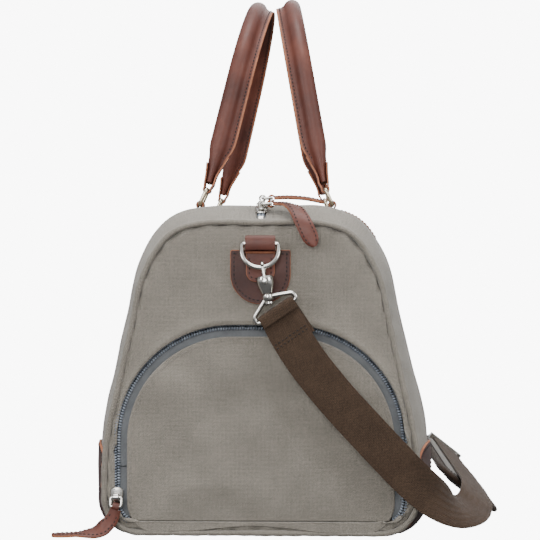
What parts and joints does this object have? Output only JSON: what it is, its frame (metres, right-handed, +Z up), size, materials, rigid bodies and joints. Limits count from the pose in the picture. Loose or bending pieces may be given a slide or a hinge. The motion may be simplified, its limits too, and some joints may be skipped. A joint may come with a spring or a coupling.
{
  "type": "travel duffel bag",
  "caption": "Canvas weekender duffel with leather handles, top zip, end shoe pocket and clip-on shoulder strap.",
  "frame": {"origin": "centre of the flat base, on the floor", "axes": "+X right seen from the shoe-pocket end, +Y along the bag to the far end, +Z up"},
  "size_m": [0.3922, 0.5694, 0.4986],
  "materials": {
    "canvas": "coarse woven",
    "pad_canvas": "coarse woven",
    "lining": "smooth woven",
    "board": "matte",
    "zip_tape": "woven tape",
    "zip_teeth": "satin coil",
    "nickel": "polished nickel",
    "ring_metal": "polished, slightly gold",
    "leather": "waxed",
    "core": "twisted cord",
    "webbing": "coarse twill"
  },
  "bodies": {
    "bag": {"canvas_wrap": "canvas", "lining": "lining", "base_board": "board", "near_end_panel": "canvas", "far_end_panel": "canvas", "near_piping": "canvas", "far_piping": "canvas", "top_zip_tapes": "zip_tape", "top_zip_teeth": "zip_teeth", "top_zip_stops": "nickel", "end_zip_tape": "zip_tape", "end_zip_teeth": "zip_teeth", "shoe_pocket": "lining", "corner_patches": "leather", "near_ring_patch": "leather", "far_ring_patch": "leather", "near_ring_tab": "leather", "far_ring_tab": "leather", "left_handle_tabs": "leather", "right_handle_tabs": "leather"},
    "left_rings": {"left_rings": "ring_metal"},
    "right_rings": {"right_rings": "ring_metal"},
    "left_handle": {"left_handle_cover": "leather", "left_handle_core": "core", "left_handle_ends": "leather"},
    "right_handle": {"right_handle_cover": "leather", "right_handle_core": "core", "right_handle_ends": "leather"},
    "near_top_slider": {"near_top_slider": "nickel"},
    "far_top_slider": {"far_top_slider": "nickel"},
    "near_top_pull": {"near_top_link": "nickel", "near_top_pull": "leather"},
    "far_top_pull": {"far_top_link": "nickel", "far_top_pull": "leather"},
    "end_slider": {"end_slider": "nickel"},
    "end_pull": {"end_link": "nickel", "end_pull": "leather"},
    "end_flap": {"flap_canvas": "canvas", "flap_lining": "lining", "flap_tape": "zip_tape", "flap_teeth": "zip_teeth", "flap_zip_corner": "zip_teeth"},
    "near_d_ring": {"near_d_ring": "nickel"},
    "far_d_ring": {"far_d_ring": "nickel"},
    "strap": {"near_webbing": "webbing", "far_webbing": "webbing", "shoulder_pad": "pad_canvas", "pad_binding": "webbing", "near_strap_loop": "nickel", "far_strap_loop": "nickel"},
    "near_hook": {"near_hook": "nickel"},
    "far_hook": {"far_hook": "nickel"},
    "near_bolt": {"near_bolt": "nickel"},
    "far_bolt": {"far_bolt": "nickel"},
    "strap_adjuster": {"strap_adjuster": "nickel"}
  },
  "joints": [
    {"name": "left_ring_fold", "type": "hinge", "parent": "bag", "child": "left_rings", "pos_m": [-0.062, 0, 0.28704], "axis": [0, -1, 0], "range_deg": [0, 40]},
    {"name": "right_ring_fold", "type": "hinge", "parent": "bag", "child": "right_rings", "pos_m": [0.062, 0, 0.28704], "axis": [0, 1, 0], "range_deg": [0, 40]},
    {"name": "left_handle_fold", "type": "hinge", "parent": "left_rings", "child": "left_handle", "pos_m": [-0.05549, 0, 0.30166], "axis": [0, -1, 0], "range_deg": [0, 98]},
    {"name": "right_handle_fold", "type": "hinge", "parent": "right_rings", "child": "right_handle", "pos_m": [0.05549, 0, 0.30166], "axis": [0, 1, 0], "range_deg": [0, 93]},
    {"name": "near_top_slide", "type": "slide", "parent": "bag", "child": "near_top_slider", "axis": [0, 0.9095, 0.4158], "range_m": [0, 0.004]},
    {"name": "far_top_slide", "type": "slide", "parent": "bag", "child": "far_top_slider", "axis": [0, 1, 0], "range_m": [0, 0.43]},
    {"name": "near_top_pull_lift", "type": "hinge", "parent": "near_top_slider", "child": "near_top_pull", "pos_m": [0, -0.23989, 0.28284], "axis": [0, -1, 0], "range_deg": [0, 100]},
    {"name": "far_top_pull_lift", "type": "hinge", "parent": "far_top_slider", "child": "far_top_pull", "pos_m": [0, -0.212, 0.28895], "axis": [0, -1, 0], "range_deg": [0, 120]},
    {"name": "end_slide", "type": "slide", "parent": "bag", "child": "end_slider", "axis": [0, 0, 1], "range_m": [0, 0.036]},
    {"name": "end_pull_lift", "type": "hinge", "parent": "end_slider", "child": "end_pull", "pos_m": [-0.122, -0.2675, 0.034], "axis": [-1, 0, 0], "range_deg": [0, 100]},
    {"name": "flap_drop", "type": "hinge", "parent": "bag", "child": "end_flap", "pos_m": [0, -0.2608, 0.01352], "axis": [1, 0, 0], "range_deg": [0, 85], "deforming": ["near_webbing", "flap_zip_corner"]},
    {"name": "near_ring_tilt", "type": "hinge", "parent": "bag", "child": "near_d_ring", "pos_m": [0, -0.2684, 0.248], "axis": [-1, 0, 0], "range_deg": [0, 0.8]},
    {"name": "far_ring_tilt", "type": "hinge", "parent": "bag", "child": "far_d_ring", "pos_m": [0, 0.2684, 0.248], "axis": [1, 0, 0], "range_deg": [0, 0.8]},
    {"name": "strap_swing", "type": "hinge", "parent": "bag", "child": "strap", "pos_m": [0, 0, 0.24248], "axis": [0, -1, 0], "range_deg": [0, 50]},
    {"name": "near_hook_swivel", "type": "hinge", "parent": "strap", "child": "near_hook", "pos_m": [0.0028, -0.27528, 0.22622], "axis": [0.1696, 0, -0.9855], "range_deg": [-20, 20]},
    {"name": "far_hook_swivel", "type": "hinge", "parent": "strap", "child": "far_hook", "pos_m": [0.0028, 0.27528, 0.22622], "axis": [0.1696, 0, -0.9855], "range_deg": [-20, 20]},
    {"name": "near_bolt_slide", "type": "slide", "parent": "near_hook", "child": "near_bolt", "axis": [0.1696, 0, -0.9855], "range_m": [0, 0.0045], "stiffness_N_per_m": 300, "springref_m": -0.002},
    {"name": "far_bolt_slide", "type": "slide", "parent": "far_hook", "child": "far_bolt", "axis": [0.1696, 0, -0.9855], "range_m": [0, 0.0045], "stiffness_N_per_m": 300, "springref_m": -0.002},
    {"name": "adjuster_slide", "type": "slide", "parent": "strap", "child": "strap_adjuster", "axis": [0, 1, 0], "range_m": [0, 0.01]}
  ]
}
